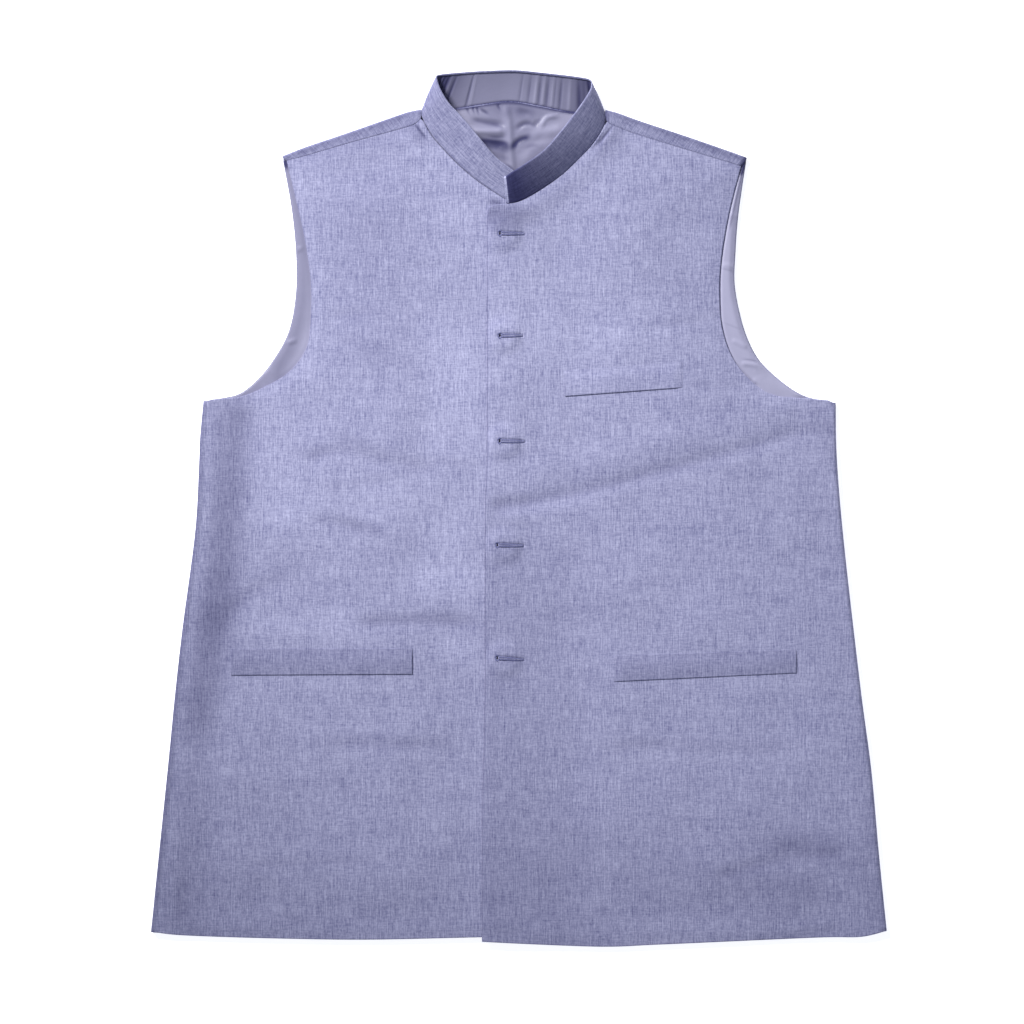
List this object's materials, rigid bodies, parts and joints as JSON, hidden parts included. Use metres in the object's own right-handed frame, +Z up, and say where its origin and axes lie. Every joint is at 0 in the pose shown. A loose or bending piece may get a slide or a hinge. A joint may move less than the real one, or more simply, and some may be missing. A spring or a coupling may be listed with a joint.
{
  "type": "nehru jacket",
  "caption": "Sleeveless jacket with a short stand collar, welt pockets and a buttonholed front, laid flat on its back with the front up.",
  "frame": {"origin": "middle of the laid jacket's outline, on the surface it lies on", "axes": "+Y from the hem to the collar, +X towards the wearer's left, +Z up, away from the surface, on the side of the front"},
  "size_m": [0.6528, 0.7771, 0.0198],
  "materials": {
    "outer_cloth": "periwinkle blue chambray with slubs, matt",
    "welt_cloth": "the same chambray, folded and pressed",
    "lining": "grey lavender satin, soft sheen",
    "button": "dark blue, smooth"
  },
  "bodies": {
    "root": {"back": "outer_cloth", "left_front": "outer_cloth", "right_front": "outer_cloth", "collar_outer": "outer_cloth", "chest_welt": "welt_cloth", "left_pocket_welt": "welt_cloth", "right_pocket_welt": "welt_cloth", "back_lining": "lining", "collar_inner": "lining", "button_1": "button", "button_2": "button", "button_3": "button", "button_4": "button", "button_5": "button"}
  },
  "joints": []
}
